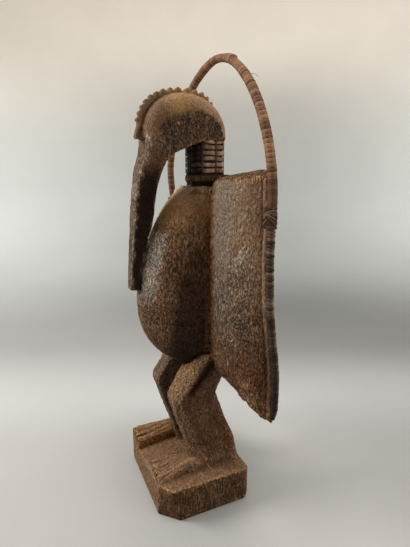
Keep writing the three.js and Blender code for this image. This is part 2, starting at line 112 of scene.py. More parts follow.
def rough(points, size, seed, octaves=3):
    """Noise with finer noise on it, each octave half the size and half the height."""
    size = np.asarray(size, float)
    total = sum(noise(points, size / 2 ** i, seed + i) / 2 ** i for i in range(octaves))
    return total / sum(1 / 2 ** i for i in range(octaves))


def scoops(points, size, seed):
    """Tool marks: 0 in the middle of a mark, rising to about 1 on the ridge between two."""
    p = points / np.asarray(size, float)
    base = np.floor(p)
    near = np.full(len(p), 9.0)
    for i in range(27):
        cell = base + np.array([i % 3, i // 3 % 3, i // 9]) - 1
        spot = np.stack([lattice(cell, seed + k) for k in range(3)], axis=1)
        near = np.minimum(near, np.sum((cell + spot - p) ** 2, axis=1))
    return clamp(np.sqrt(near) / RIDGE)


def through(pairs):
    """The smooth curve through [where, value] pairs that the solids use."""
    xs, ys = (np.array(column, float) for column in zip(*pairs))
    rise = np.diff(ys) / np.diff(xs)
    slope = np.concatenate([rise[:1], (rise[:-1] + rise[1:]) / 2, rise[-1:]])

    def curve(where):
        where = np.clip(where, xs[0], xs[-1])
        i = np.clip(np.searchsorted(xs, where, side="right") - 1, 0, len(xs) - 2)
        width = xs[i + 1] - xs[i]
        t = (where - xs[i]) / width
        start = ys[i] * (1 + 2 * t) * (1 - t) ** 2 + slope[i] * width * t * (1 - t) ** 2
        end = ys[i + 1] * (3 - 2 * t) * t ** 2 - slope[i + 1] * width * (1 - t) * t ** 2
        return start + end

    return curve


def line_gap(p, start, end, axes=(0, 2)):
    """Distance from a line in the plane of two axes, and the share along it."""
    start, end = np.array(start, float), np.array(end, float)
    q = p[:, axes]
    t = clamp(((q - start) @ (end - start)) / np.sum((end - start) ** 2))
    return np.linalg.norm(q - start - t[:, None] * (end - start), axis=1), t


# Mesh helpers

SAME_POINT = 1e-6  # metres within which two points of a swept strand are one
RELAX_IN, RELAX_OUT = 0.50, 0.52  # each round pulls in, then pushes out, so nothing shrinks


def new_object(name, data):
    obj = bpy.data.objects.new(name, data)
    scene.collection.objects.link(obj)
    return obj


@contextmanager
def editing(mesh):
    """A mesh opened for edits of its points and faces, and written back after them."""
    work = bmesh.new()
    work.from_mesh(mesh)
    yield work
    work.to_mesh(mesh)
    work.free()


def vectors(items, key):
    values = np.zeros(len(items) * 3, np.float32)
    items.foreach_get(key, values)
    return values.reshape(-1, 3).astype(float)


def points_of(mesh):
    return vectors(mesh.vertices, "co")


def move_points(mesh, points):
    mesh.vertices.foreach_set("co", points.astype(np.float32).ravel())
    mesh.update()


def write_field(mesh, name, values):
    field = mesh.attributes.new(name, "FLOAT", "POINT")
    field.data.foreach_set("value", np.asarray(values, np.float32))


def read_field(mesh, name):
    values = np.zeros(len(mesh.vertices), np.float32)
    mesh.attributes[name].data.foreach_get("value", values)
    return values.astype(float)


def neighbours(mesh):
    edges = np.zeros(len(mesh.edges) * 2, np.int32)
    mesh.edges.foreach_get("vertices", edges)
    return edges.reshape(-1, 2)


def average(values, edges):
    """Each point's mean over its neighbours."""
    a, b = edges[:, 0], edges[:, 1]
    total = np.zeros_like(values)
    np.add.at(total, a, values[b])
    np.add.at(total, b, values[a])
    count = np.bincount(edges.ravel(), minlength=len(values))
    return total / (count[:, None] if values.ndim == 2 else count)


def relax(points, edges, amount, rounds):
    """Smooths without shrinking; amount is from 0 to 1 for each point."""
    for _ in range(rounds):
        points = points + (average(points, edges) - points) * (RELAX_IN * amount)[:, None]
        points = points - (average(points, edges) - points) * (RELAX_OUT * amount)[:, None]
    return points


def applied(holder):
    """The mesh of an object with its modifiers applied; the object is removed."""
    depsgraph = bpy.context.evaluated_depsgraph_get()
    mesh = bpy.data.meshes.new_from_object(holder.evaluated_get(depsgraph))
    old = holder.data
    bpy.data.objects.remove(holder)
    bpy.data.meshes.remove(old)
    return mesh


class Skin:
    """Collects swept strands and makes one mesh of them."""

    def __init__(self):
        self.points, self.faces, self.fields, self.count = [], [], {}, 0

    def grid(self, rows, close_rows=True, close_columns=False, ends=True, **fields):
        """rows is an array of rings, [ring, point, xyz]."""
        n, m = rows.shape[:2]
        start = self.count
        self.points.append(rows.reshape(-1, 3))
        self.count += n * m
        for i in range(n if close_columns else n - 1):
            here, there = start + i * m, start + (i + 1) % n * m
            for j in range(m if close_rows else m - 1):
                k = (j + 1) % m
                self.faces.append((here + j, here + k, there + k, there + j))
        if ends and not close_columns:
            self.faces.append(tuple(start + j for j in reversed(range(m))))
            self.faces.append(tuple(start + (n - 1) * m + j for j in range(m)))
        for name, values in fields.items():
            self.fields.setdefault(name, []).append(np.broadcast_to(values, (n, m)).ravel())

    def build(self, name, material):
        mesh = bpy.data.meshes.new(name)
        mesh.from_pydata((np.concatenate(self.points) * MM).tolist(), [], self.faces)
        for field, values in self.fields.items():
            write_field(mesh, field, np.concatenate(values))
        with editing(mesh) as work:
            bmesh.ops.remove_doubles(work, verts=work.verts, dist=SAME_POINT)
            bmesh.ops.recalc_face_normals(work, faces=work.faces)
        mesh.shade_smooth()
        mesh.materials.append(material)
        return new_object(name, mesh)


def frames(path, reference, closed=False):
    """Side and up directions for each point of a path."""
    if closed:
        tangent = np.roll(path, -1, 0) - np.roll(path, 1, 0)
    else:
        tangent = np.gradient(path, axis=0)
    tangent /= np.linalg.norm(tangent, axis=1)[:, None]
    reference = np.broadcast_to(np.asarray(reference, float), path.shape)
    side = np.cross(tangent, reference)
    side /= np.linalg.norm(side, axis=1)[:, None]
    return side, np.cross(side, tangent)


def round_trip(points):
    """Turns once round, and the directions that point outwards at them."""
    turn = np.linspace(0, FULL_TURN, points, endpoint=False)
    return turn, np.stack([np.cos(turn), np.sin(turn), 0 * turn], axis=1)


def points_at(px, py, pz):
    return np.stack([px, py, px * 0 + pz], axis=1)


def strand(skin, path, width, thick, outwards, closed, tone, points=8, stain=0.0):
    """A flattened strand along a path; its flat face looks outwards."""
    squareness = 0.7
    side, up = frames(path, outwards, closed)
    _, around = round_trip(points)
    c, s = (np.sign(v) * np.abs(v) ** squareness for v in around.T[:2])
    rows = (path[:, None] + side[:, None] * (c * width / 2)[None, :, None]
            + up[:, None] * (s * thick / 2)[None, :, None])
    skin.grid(rows, close_columns=closed, tone=tone, groove=np.abs(s)[None, :], stain=stain)


# Node helpers

class Nodes:
    """Builds one material's nodes; every value may be a socket or a constant."""

    def __init__(self, name):
        self.material = bpy.data.materials.new(name)
        self.material.use_nodes = True
        self.tree = self.material.node_tree
        self.shader = self.tree.nodes["Principled BSDF"]

    def add(self, kind, inputs=None, **settings):
        node = self.tree.nodes.new("ShaderNode" + kind)
        for key, value in settings.items():
            setattr(node, key, value)
        for key, value in (inputs or {}).items():
            self.put(node.inputs[key], value)
        return node

    def put(self, socket, value):
        """Links or sets a socket; a constant colour is given without its alpha."""
        if isinstance(value, bpy.types.NodeSocket):
            self.tree.links.new(value, socket)
        else:
            socket.default_value = (*value, 1) if socket.type == "RGBA" else value

    def math(self, operation, a, b=0.0):
        return self.add("Math", {0: a, 1: b}, operation=operation).outputs[0]

    def product(self, value, *factors):
        for factor in factors:
            value = self.math("MULTIPLY", value, factor)
        return value

    def gap(self, value, centre):
        return self.math("ABSOLUTE", self.math("SUBTRACT", value, centre))

    def ramp(self, value, start, end, low=0.0, high=1.0):
        inputs = {"Value": value, "From Min": start, "From Max": end,
                  "To Min": low, "To Max": high}
        node = self.add("MapRange", inputs, interpolation_type="SMOOTHSTEP", clamp=True)
        return node.outputs["Result"]

    def blend(self, a, b, share, kind="MIX"):
        """Between two colours."""
        return self.add("Mix", {0: share, 6: a, 7: b}, data_type="RGBA", blend_type=kind,
                        clamp_factor=True).outputs[2]

    def between(self, a, b, share):
        """Between two numbers."""
        return self.add("Mix", {0: share, 2: a, 3: b}, data_type="FLOAT",
                        clamp_factor=True).outputs[0]

    def tint(self, colour, shade):
        """Multiplies a colour by one number."""
        grey = self.add("CombineColor", {"Red": shade, "Green": shade, "Blue": shade})
        return self.blend(colour, grey.outputs[0], 1.0, "MULTIPLY")

    def field(self, name):
        return self.add("Attribute", attribute_name=name).outputs["Fac"]

    def place(self, size=1.0):
        """Position on the piece counted in grains; size is a grain's, one number or per axis."""
        node = self.add("Mapping", {"Vector": self.add("TexCoord").outputs["Object"]})
        node.inputs["Scale"].default_value = [PER_METRE / s for s in np.broadcast_to(size, 3)]
        return node.outputs["Vector"]

    def noise(self, size, detail=3.0, roughness=0.55):
        return self.add("TexNoise", {"Vector": self.place(size), "Scale": 1.0, "Detail": detail,
                                     "Roughness": roughness}).outputs["Fac"]

    def cells(self, size):
        inputs = {"Vector": self.place(size), "Scale": 1.0}
        return self.add("TexVoronoi", inputs).outputs["Distance"]

    def bump(self, height, depth, under=None, strength=1.0):
        inputs = {"Height": height, "Distance": depth * MM, "Strength": strength}
        if under is not None:
            inputs["Normal"] = under
        return self.add("Bump", inputs).outputs["Normal"]

    def finish(self, colour, roughness, normal, specular):
        self.put(self.shader.inputs["Base Color"], colour)
        self.put(self.shader.inputs["Roughness"], roughness)
        self.put(self.shader.inputs["Normal"], normal)
        self.shader.inputs["Specular IOR Level"].default_value = specular
        return self.material


# The carved wood's material. Colours are linear.

WOOD_DEEP, WOOD_LIGHT = (0.116, 0.056, 0.027), (0.190, 0.106, 0.058)
STREAK_BROWN = (0.075, 0.029, 0.011)
HONEY, ASH_AND_SHEEN, RUST_AND_LIGHT = (0.270, 0.150, 0.052), (0.200, 0.146, 0.104), (0.150, 0.055, 0.015)
PALE_DUST_AND_LIGHT, BARE_WOOD = (0.310, 0.186, 0.100), (0.360, 0.205, 0.100)
SOOT_AND_SHADE, CHALK_AND_HIGHLIGHT = (0.012, 0.0042, 0.0016), (0.42, 0.35, 0.29)
SWIRL_AT = (119.0, 36.0, 333.0)  # the knot whose rings show on the left wing
COAT_ROUGHNESS, WOOD_SPECULAR = 0.20, 0.12


def wood_material():
    n = Nodes("figure_wood_carved")
    gouges = n.noise((1.9, 1.9, 4.0), detail=1.5, roughness=0.5)
    fine = n.noise((0.9, 0.9, 1.8))
    pits = n.cells((2.9, 2.9, 6.4))
    nicks = n.noise((2.3, 2.3, 4.8), detail=1.0)
    flecks = n.noise((2.4, 2.4, 4.2), detail=1.0)
    ripple = n.noise((3.8, 3.8, 5.5), detail=1.0)
    grain = n.noise((1.5, 1.5, 22.0), detail=2.0)
    wave = n.noise((4.6, 4.6, 9.5), detail=1.5)
    pores = n.noise(1.1, detail=2.0)
    calm = n.field("calm")

    # Layers of colour, from the wood out to what lies on it, with painted light and shade among
    # them
    broad = n.ramp(n.noise(30.0), 0.35, 0.68)
    streak = n.ramp(n.noise((3.2, 3.2, 26.0)), 0.50, 0.76, 0.0, 0.5)
    dust_and_light = n.product(n.field("dust_and_light"), n.ramp(pores, 0.3, 0.6, 0.6, 1.0))
    worn = n.product(n.field("worn"), n.ramp(gouges, 0.38, 0.58, 0.1, 1.0))
    pale = n.product(n.field("pale"), n.ramp(gouges, 0.38, 0.56, 0.15, 1.0))
    colour = n.blend(WOOD_DEEP, WOOD_LIGHT, broad)
    for layer, share in ((STREAK_BROWN, streak), (HONEY, n.field("golden")),
                         (ASH_AND_SHEEN, n.field("grey")), (RUST_AND_LIGHT, n.field("warm")), (PALE_DUST_AND_LIGHT, dust_and_light),
                         (BARE_WOOD, worn), (SOOT_AND_SHADE, n.field("dark")), (CHALK_AND_HIGHLIGHT, pale)):
        colour = n.blend(colour, layer, share)

    # Worm-like strokes, and the knot's rings
    stroke = n.product(n.ramp(n.gap(wave, 0.5), 0.015, 0.07, 1.0, 0.0),
                       n.ramp(nicks, 0.42, 0.52))
    from_knot = n.add("VectorMath", {0: n.place(), 1: SWIRL_AT}, operation="SUBTRACT")
    rings = n.add("TexWave", {"Vector": from_knot.outputs[0], "Scale": 0.055, "Distortion": 5.0,
                              "Detail": 1.0, "Detail Scale": 0.6},
                  wave_type="RINGS", rings_direction="Y").outputs["Fac"]
    swirl = n.product(n.ramp(rings, 0.55, 0.2), n.field("swirl"))

    # Light and dark of the tool marks; calm places show less of it
    lines = n.ramp(grain, 0.38, 0.62, 0.50, 1.22)
    shade = n.product(
        n.ramp(gouges, 0.38, 0.58, 0.78, 1.18), n.ramp(fine, 0.3, 0.7, 0.86, 1.14),
        n.ramp(stroke, 0.0, 1.0, 1.07, 0.46), n.ramp(pits, 0.08, 0.24, 0.48, 1.0),
        n.ramp(nicks, 0.34, 0.44, 0.45, 1.0), n.ramp(flecks, 0.58, 0.70, 1.0, 1.24),
        n.ramp(n.field("relief"), 0.0, 1.0, 0.86, 1.26), n.ramp(swirl, 0.0, 1.0, 1.0, 0.62),
        n.between(1.0, lines, n.field("grain")))
    colour = n.tint(colour, n.math("POWER", shade, n.between(1.40, 0.35, calm)))

    # Relief finer than the mesh: height, depth, strength
    bite = n.between(1.0, 0.3, calm)
    normal = None
    for height, depth, strength in (
            (n.ramp(ripple, 0.3, 0.68), 2.6, bite), (n.ramp(gouges, 0.36, 0.60), 1.5, bite),
            (n.ramp(pits, 0.05, 0.3), 1.6, bite), (n.ramp(nicks, 0.34, 0.46), 1.2, bite),
            (n.ramp(stroke, 0.0, 1.0, 1.0, 0.0), 1.3, bite),
            (n.ramp(swirl, 0.0, 1.0, 1.0, 0.0), 1.0, 1.0), (fine, 0.5, 1.0)):
        normal = n.bump(height, depth, normal, strength)
    n.put(n.shader.inputs["Coat Weight"], n.field("polish"))
    n.put(n.shader.inputs["Coat Normal"], normal)
    n.shader.inputs["Coat Roughness"].default_value = COAT_ROUGHNESS
    return n.finish(colour, n.ramp(pores, 0.3, 0.7, 0.66, 0.82), normal, WOOD_SPECULAR)


# Where the parts of the carving are. Tables give one place by another, such as y by height.

HEAD_Y, HEAD_Z = 3.0, 575.0
CREASE = 60.0  # from the middle to where the belly meets the wing
WING_HALF = 164.0
BELLY_Y, BELLY_Z, BELLY_DEPTH = 17.5, 330.0, 93
BELLY_BELOW, BELLY_ABOVE = 111.0, 177.0
NECK_Y = 38.0
CHEEK_TOP = through([[-50, 560], [-44, 579], [-40, 588], [-28, 597], [-7, 605.5], [11, 608.5],
                     [28, 606.5], [42, 600.5], [51, 590], [56, 573]])
BEAK_BACK = through([[352, -73], [379, -71], [422, -61], [459, -50.5], [494, -46.5], [512, -43],
                     [528, -38], [540, -33], [600, -33]])
BEAK_HALF = through([[352, 10.5], [390, 13.8], [460, 16.8], [485, 17.8], [507, 21], [531, 25.5],
                     [553, 29.5], [600, 29.5]])
WING_TOP = through([[0, 497], [52, 498], [62, 507], [72, 512.5], [130, 516], [164, 518]])


def egg(x, y, z):
    """How far out of the belly's solid a point lies: 1 on its skin."""
    below = z < BELLY_Z
    share = clamp(np.abs(z - BELLY_Z) / np.where(below, BELLY_BELOW, BELLY_ABOVE), 0, 0.99)
    deep, wide = np.where(below, 2.15, 1.65), np.where(below, 3.2, 4.5)
    depth = BELLY_DEPTH * (1 - share ** deep) ** (1 / deep)
    half = CREASE * (1 - share ** wide) ** (1 / wide)
    return (x / half) ** 2 + ((BELLY_Y - y) / depth) ** 2


class Region:
    """The parts of the carving: for each point, a share from 0 to 1 of every part."""

    def __init__(self, p, normal):
        self.p = p
        self.x, self.y, self.z = p.T
        self.nx, self.ny, self.nz = normal.T
        self.out = np.abs(self.x)
        self.wander = rough(p, 22, seed=5) - 0.5
        self.find_head()
        self.find_body()
        self.find_wings()
        self.find_base()

    def find_head(self):
        y, z, out = self.y, self.z, self.out
        self.head = smooth(z, 540, 556) * fall(out, 34, 38)
        above = z - CHEEK_TOP(y) + mix(12, 3, smooth(y, -20, 5)) * self.wander
        self.cheek = self.head * fall(above, -1.0, 0.8) * smooth(out, 22, 26)
        self.cheek_line = self.head * bump_at(above, 1.6, 3.4) * smooth(out, 20, 24) * (y > -34)
        blade = smooth(BEAK_BACK(z) + 2.6 - y, 0, 1.5) * fall(out - BEAK_HALF(z), 0.8, 2.5)
        self.beak = np.where(z > 505, smooth(-y, 36, 44) * (out < 33), blade)
        self.beak = self.beak * fall(z, 562, 580) * (z > 347)
        self.beak_side = self.beak * smooth(np.abs(self.nx), 0.45, 0.8)
        self.beak_front = self.beak * smooth(-self.ny, 0.35, 0.7)
        self.cap = self.head * (1 - self.cheek) * (1 - self.beak) * (out < 40)
        # The crest is what stands above the skull's oval
        dy, dz = y - HEAD_Y, z - HEAD_Z
        power = np.where(dy < 0, 1.9, 2.6)
        level = (np.abs(dy) / np.where(dy < 0, 56, 53)) ** power + clamp(dz / 34, 0, 3) ** power
        self.crest = fall(out, 6.6, 8) * smooth(level, 1.6, 1.9) * self.head

    def find_body(self):
        y, z, out = self.y, self.z, self.out
        inside = fall(egg(self.x, y, z), 1.12, 1.3)
        self.belly = inside * (z > 216) * (z < 510) * (y < 22) * (1 - self.beak)
        ring = (out / 29.5) ** 3 + (np.abs(y - NECK_Y) / 28.3) ** 3
        self.collar = smooth(z, 498, 502) * fall(z, 526, 532) * fall(ring, 1.1, 1.35)
        # The groove between the belly and the wing
        self.valley = (smooth(z, 150, 175) * fall(z, 515, 520) * smooth(out, 56, 59)
                       * fall(out, 70, 80) * (self.ny < 0.3)
                       * smooth(y, 11, 15) * fall(y, 27, 32) * (z > 235))

    def find_wings(self):
        z, out = self.z, self.out
        self.wing = smooth(out, CREASE + 8, CREASE + 16) * (z > 165)
        self.wing_top = smooth(z - WING_TOP(out), -2.5, 0.5) * (out > 29) * (z < 540)
        self.wing_front = self.wing * smooth(-self.ny, -0.1, 0.3) * (1 - self.wing_top)
        self.rim = smooth(out, WING_HALF - 7.0, WING_HALF - 6.2) * (z > 165)
        self.rim_step = self.wing_front * bump_at(out, WING_HALF - 7.8, 2.2)

    def find_base(self):
        z, out = self.z, self.out
        self.base = fall(z, 53, 58)
        self.ground = fall(z, 74, 80) * smooth(self.nz, 0.35, 0.8) * (z > 40)
        self.foot = (z > 44) * fall(z, 74, 84) * (out < 93)
        self.leg = (smooth(z, 66, 84) * fall(z, 244, 256) * (out < 72)
                    * (1 - self.belly) * (1 - self.wing))


# Single marks of the carving

NEAR_TOES = (((7.5, -47), (8.6, -65)), ((8.6, -65), (21.2, -67)), ((21.2, -67), (29, -49)),
             ((37, -50), (35.6, -70)), ((34, -34), (47, -71)), ((45.9, -41), (54, -70)),
             ((60, -36), (67, -68)))  # lines between the left foot's toes, x and y
SCAR_CUTS = (((113, 403), (134, 436), 2.4), ((124, 407), (138, 431), 1.7))  # x and z, width
SCAR_BRUISE = (113, 418), (126, 436)
SCAR_SPECKS = (116, 398), (136, 412)
CRACK_Z = 432
THIGH_CREASE = (27, 240), (-21, 180)  # y and z


def scar(p):
    """A slanting scar of two strokes on the left wing's face: its cut, its red bruise and the
    chalky specks round its foot."""
    cut = np.zeros(len(p))
    ragged = 1.6 * (rough(p, 4, seed=55, octaves=2) - 0.5)
    for start, end, width in SCAR_CUTS:
        gap, t = line_gap(p, start, end)
        stroke = fall(gap + ragged, 0.4, width) * smooth(t, 0, 0.1)
        cut = np.maximum(cut, stroke * fall(t, 0.85, 1))
    gap, _ = line_gap(p, *SCAR_BRUISE)
    bruise = fall(gap + 2 * ragged, 2, 8)
    gap, _ = line_gap(p, *SCAR_SPECKS)
    speck = smooth(noise(p, 3, seed=57), 0.55, 0.7)
    return cut, bruise, speck * fall(gap, 5, 14)


def beak_crack(r):
    """A crack across the left side of the beak."""
    line = CRACK_Z + 1.6 * np.sin(r.x * 0.35)
    return r.beak * fall(np.abs(r.z - line), 0.4, 2.2) * (r.x > 2)


def toe_grooves(p):
    """Grooves between the toes: short cuts on the left foot, longer ones on the right."""
    x, y, z = p.T
    spread = 1 + clamp((-y - 10) / 160)
    wave = np.abs(((-x - 54) / spread / 8.2) % 1 - 0.5) * 2
    far = smooth(wave, 0.55, 0.95) * smooth(-y, 6, 22) * (x < -38) * (x > -80)
    near = np.zeros(len(p))
    for start, end in NEAR_TOES:
        gap, t = line_gap(p, start, end, (0, 1))
        near = np.maximum(near, fall(gap, 0.8, 2.6) * mix(0.35, 1.0, t))
    return np.where(x > 0, near * smooth(z, 50, 53), far)


def thigh_crease(p):
    """The dark hollow between each thigh's rounded front and the flat of the leg."""
    gap, t = line_gap(p, *THIGH_CREASE, (1, 2))
    fade = fall(t, 0.72, 1.0) * smooth(np.abs(p[:, 0]), 45, 53)
    return fall(gap, 1.5, mix(12, 8, t)) * fade


# The carved figure

VOXEL = 1.55
SAME_CORNER = 1e-5  # metres within which two corners of the solid are one
MOST_TRIANGLES = 192000
RELAX_ROUNDS, LEAST_RELAX, SPREAD_ROUNDS = 12, 0.08, 4
SHARP_EDGE, SHARP_HOLLOW = 0.12, 0.16  # how far an edge stands out of its surroundings
UPRIGHT_MARK, SHORT_MARK = (3.9, 3.9, 7.5), (3.7, 3.7, 4.6)
MOST_OUT, MOST_IN = -1.5, 4.0


def voxel_copy(node):
    """An even, closed mesh of a CAD node, its points about VOXEL apart."""
    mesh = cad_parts[node].data.copy()
    with editing(mesh) as work:
        bmesh.ops.remove_doubles(work, verts=work.verts, dist=SAME_CORNER)
    holder = new_object("rough_cut", mesh)
    remesh = holder.modifiers.new("remesh", "REMESH")
    remesh.mode = "VOXEL"
    remesh.voxel_size = VOXEL * MM
    return applied(holder)


def thin_out(mesh, most):
    """Fewer triangles where the surface is calm."""
    mesh.calc_loop_triangles()
    holder = new_object("fine_cut", mesh)
    decimate = holder.modifiers.new("decimate", "DECIMATE")
    decimate.ratio = most / len(mesh.loop_triangles)
    return applied(holder)


def soften(p, edges):
    """Takes the facets off the soft forms; teeth, toes and rims keep their edges."""
    z, out = p[:, 2], np.abs(p[:, 0])
    crisp = fall(out, 6.6, 7.5) * smooth(z, 570, 590) + 0.72 * fall(z, 195, 215)
    crisp = crisp + 0.9 * smooth(out, 150, 153) * (z > 195)
    return relax(p, edges, mix(1.0, LEAST_RELAX, clamp(crisp)), RELAX_ROUNDS)


def wear(r, edge):
    """How deep tools, hands and time have cut each point, and the tool marks' pattern.
    The soft forms swell a little, so that they keep the solid's size."""
    p, z = r.p, r.z
    upright = scoops(p + 3 * r.wander[:, None], UPRIGHT_MARK, seed=11)
    short = scoops(p, SHORT_MARK, seed=23)
    cut = mix(upright, short, clamp(r.cheek + r.ground + r.cap))
    swell = rough(p, (34, 34, 60), seed=41, octaves=2) - 0.5
    broken = smooth(rough(p, 16, seed=71), 0.54, 0.74)
    depth = (1.45 * (0.6 - cut) * (1 - 0.7 * clamp(r.cap + r.beak))
             - 1.6 * swell * (1 - r.head) * (1 - edge))
    depth = depth + 0.8 * (0.5 - rough(p, 6, seed=61, octaves=2)) - 0.5 * (1 - edge)
    depth = depth * (1 - 0.9 * r.crest) * (1 - 0.88 * clamp(r.foot + r.base))
    # Broken edges, most of all the wing's tip
    chips = 1.3 * (1 - r.crest) * edge * broken * (z > 8)
    depth = depth + chips * (1 - 0.7 * clamp(r.foot + r.base))
    tip = smooth(z, 165, 175) * fall(z, 236, 262) * r.wing * edge
    depth = depth + 1.8 * tip * smooth(rough(p, 8, seed=81, octaves=2), 0.35, 0.7)
    # Single marks
    depth = depth + 2.2 * r.collar * fall(z, 510, 514)
    depth = depth + 0.8 * scar(p)[0] * r.wing_front + 0.7 * r.rim_step + 1.6 * beak_crack(r)
    depth = depth + 2.0 * toe_grooves(p) * r.foot + 2.4 * thigh_crease(p) * r.leg
    return clamp(depth, MOST_OUT, MOST_IN), cut


def figure():
    fine = voxel_copy("carved_figure")
    edges = neighbours(fine)
    solid = points_of(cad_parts["carved_figure"].data) / MM
    low, high = solid.min(axis=0), solid.max(axis=0)
    p = soften(points_of(fine) / MM, edges)
    move_points(fine, p * MM)
    normal = vectors(fine.vertex_normals, "vector")
    convex = np.einsum("ij,ij->i", p - average(p, edges), normal)
    for _ in range(SPREAD_ROUNDS):
        convex = 0.5 * convex + 0.5 * average(convex, edges)
    edge = clamp(convex / SHARP_EDGE)
    depth, cut = wear(Region(p, normal), edge)
    move_points(fine, np.clip(p - normal * depth[:, None], low, high) * MM)
    write_field(fine, "cut", cut)
    write_field(fine, "edge", edge)
    write_field(fine, "hollow", clamp(-convex / SHARP_HOLLOW))
    fine = thin_out(fine, MOST_TRIANGLES)
    move_points(fine, np.clip(points_of(fine) / MM, low, high) * MM)
    paint(fine)
    fine.name = "carved_bird"
    fine.shade_smooth()
    fine.materials.clear()
    fine.materials.append(wood_material())
    piece = new_object("carved_bird", fine)
    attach(piece, "root")
    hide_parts("carved_figure")


# The carved figure's colours: each function gives the share of one layer for each point

# Painted shade on the belly's left side, which faces away from the key light: where it begins and
# how dark it is, by height
BELLY_SHADE_FROM = through([[220, -50], [310, -50], [340, -44], [372, -40], [400, -30], [440, -28],
                     [490, -20]])  # y of the belly's dark side by height
BELLY_SHADE_SHARE = through([[220, 0.80], [310, 0.78], [340, 0.72], [372, 0.60], [400, 0.52],
                      [440, 0.14], [465, 0.36], [490, 0.50], [505, 0.40]])


class Marks(Region):
    """The carving's parts, and the smaller places that only its colours need."""

    def __init__(self, mesh):
        super().__init__(points_of(mesh) / MM, vectors(mesh.vertex_normals, "vector"))
        p, x, y, z, out = self.p, self.x, self.y, self.z, self.out
        nx, ny, nz = self.nx, self.ny, self.nz
        self.cut, self.edge, self.hollow = (read_field(mesh, name)
                                            for name in ("cut", "edge", "hollow"))
        self.flat_side = smooth(np.abs(nx), 0.6, 0.9)
        self.corner = smooth(np.abs(nx) * (-ny), 0.12, 0.35)
        self.front = smooth(-ny, 0.3, 0.7)
        self.left, self.right = x > 0, x < 0
        self.scarred, self.bruise, self.chalky = scar(p)
        self.toe_lines = toe_grooves(p)
        self.crease = thigh_crease(p) * self.leg
        # The left thigh's front, lightened in the colours below as painted light
        self.thigh = self.leg * self.front * smooth(z, 172, 190) * self.left
        self.brow = smooth(-y, 12, 40) * self.head
        # The top of the right shoulder by the neck: painted light where the key light falls
        self.shoulder = (smooth(z, 482, 492) * (z < 512) * (out < 26) * (y < 12)
                         * smooth(-x, -16, -2))
        # The belly's polished patch, given a painted highlight, and its edge that the key light
        # grazes, given a painted sheen
        self.gloss_and_highlight = (self.belly * fall(out, 25, 42) * smooth(z, 325, 365)
                      * fall(z, 422, 450) * mix(0.55, 1.0, smooth(out, 5, 14)))
        aside = ASIDE[0] * nx + ASIDE[1] * ny
        self.sheen = self.belly * fall(aside, -0.97, -0.72) * fall(z, 330, 370)
        # The frayed lower edge of the wings, and the top of the right one, painted light where the
        # key light falls
        self.fray = (self.wing * fall(z - 0.55 * (WING_HALF - out), 196, 212)
                     * smooth(out, 112, 125) * smooth(-ny, 0, 0.3)
                     * smooth(noise(p, 3.0, seed=97), 0.4, 0.6))
        self.far_top = (smooth(-x, 30, 60) * smooth(z, 466, 500) * (z < 530)
                        * smooth(nz - 0.4 * ny, -0.05, 0.25))


def golden(m):
    """Honey tone: the skull, the chest, the crest and the right foot's toes; painted light on the
    left leg's front and thigh, and on the belly beside the beak.
    """
    skull = m.cap * mix(0.75, 0.35, smooth(m.y, -10, 35)) * (1 + m.wander)
    # The chest's second term is painted light: light bounced onto the belly beside the beak
    chest = 0.45 * smooth(m.z, 400, 470) + 0.8 * smooth(-m.x, -20, 5) * smooth(m.z, 400, 430)
    base_streaks = smooth(rough(m.p, (18, 18, 60), seed=91, octaves=2), 0.5, 0.62)
    cheek_specks = smooth(rough(m.p, 4, seed=93, octaves=2), 0.45, 0.6)
    return (skull * (1 - m.crest) * (1 - 0.7 * m.brow) + 0.50 * m.crest
            # painted light on the left leg's front and the left thigh
            + m.belly * chest + 0.15 * m.leg * m.front * m.left + 0.30 * m.thigh
            + 0.35 * m.base * m.flat_side * base_streaks
            + 0.15 * m.wing_top * (1 - m.collar) + m.fray
            + 0.7 * m.cheek_line * cheek_specks
            + 0.7 * m.foot * (m.x < -30) * (1 - m.toe_lines))


def grey(m):
    """Ashen grey: the beak's front, the cheeks and the shins; painted sheen on the wings' inner
    faces and the belly's edge, painted highlight on the belly's polished patch, painted light on
    the right shoulder.
    """
    # The wings' inner faces: painted sheen, a glancing reflection of the light from the left
    inner_wing = (0.80 * fall(m.out, 112, 162) * smooth(m.z, 250, 380)
                  + 0.40 * fall(m.out, 88, 120) * smooth(m.z, 240, 320))
    nape = smooth(m.y, 0, 40) * (1 - m.crest)
    shin = (0.30 * m.front * (1 - 0.6 * m.thigh) + 0.35 * m.right * smooth(-m.ny, -0.6, 0.2)
            + 0.35 * m.flat_side * smooth(m.z, 120, 200) * (1 - m.crease))
    return (m.wing_front * (inner_wing + 0.4 * m.rim)
            + 0.30 * m.cheek + 0.55 * m.beak_front + m.cap * (0.45 * nape + 0.12 * m.brow)
            # painted light on the right shoulder, painted highlight on the belly's polished patch,
            # painted sheen on its edge
            + 0.6 * m.shoulder + 0.75 * m.gloss_and_highlight + 0.55 * m.sheen + m.leg * shin)


def warm(m):
    """Reddish tone: painted light on the valley's lit wall; stained creases and the wings' lower
    half.
    """
    low_wing = fall(m.z, 240, 340) * mix(0.22, 0.45, smooth(m.out, 95, 130))
    # The valley's reddish band is painted light on the groove's lit wall
    return (m.valley + 0.25 * m.belly * smooth(m.z, 440, 480)
            + m.wing_front * (0.6 * m.bruise + low_wing)
            + 0.7 * m.base * m.corner + 0.3 * (m.leg + m.crest) * m.flat_side
            + 0.5 * (m.z < 110) * m.foot * (m.x < -30) + 0.8 * m.crease)


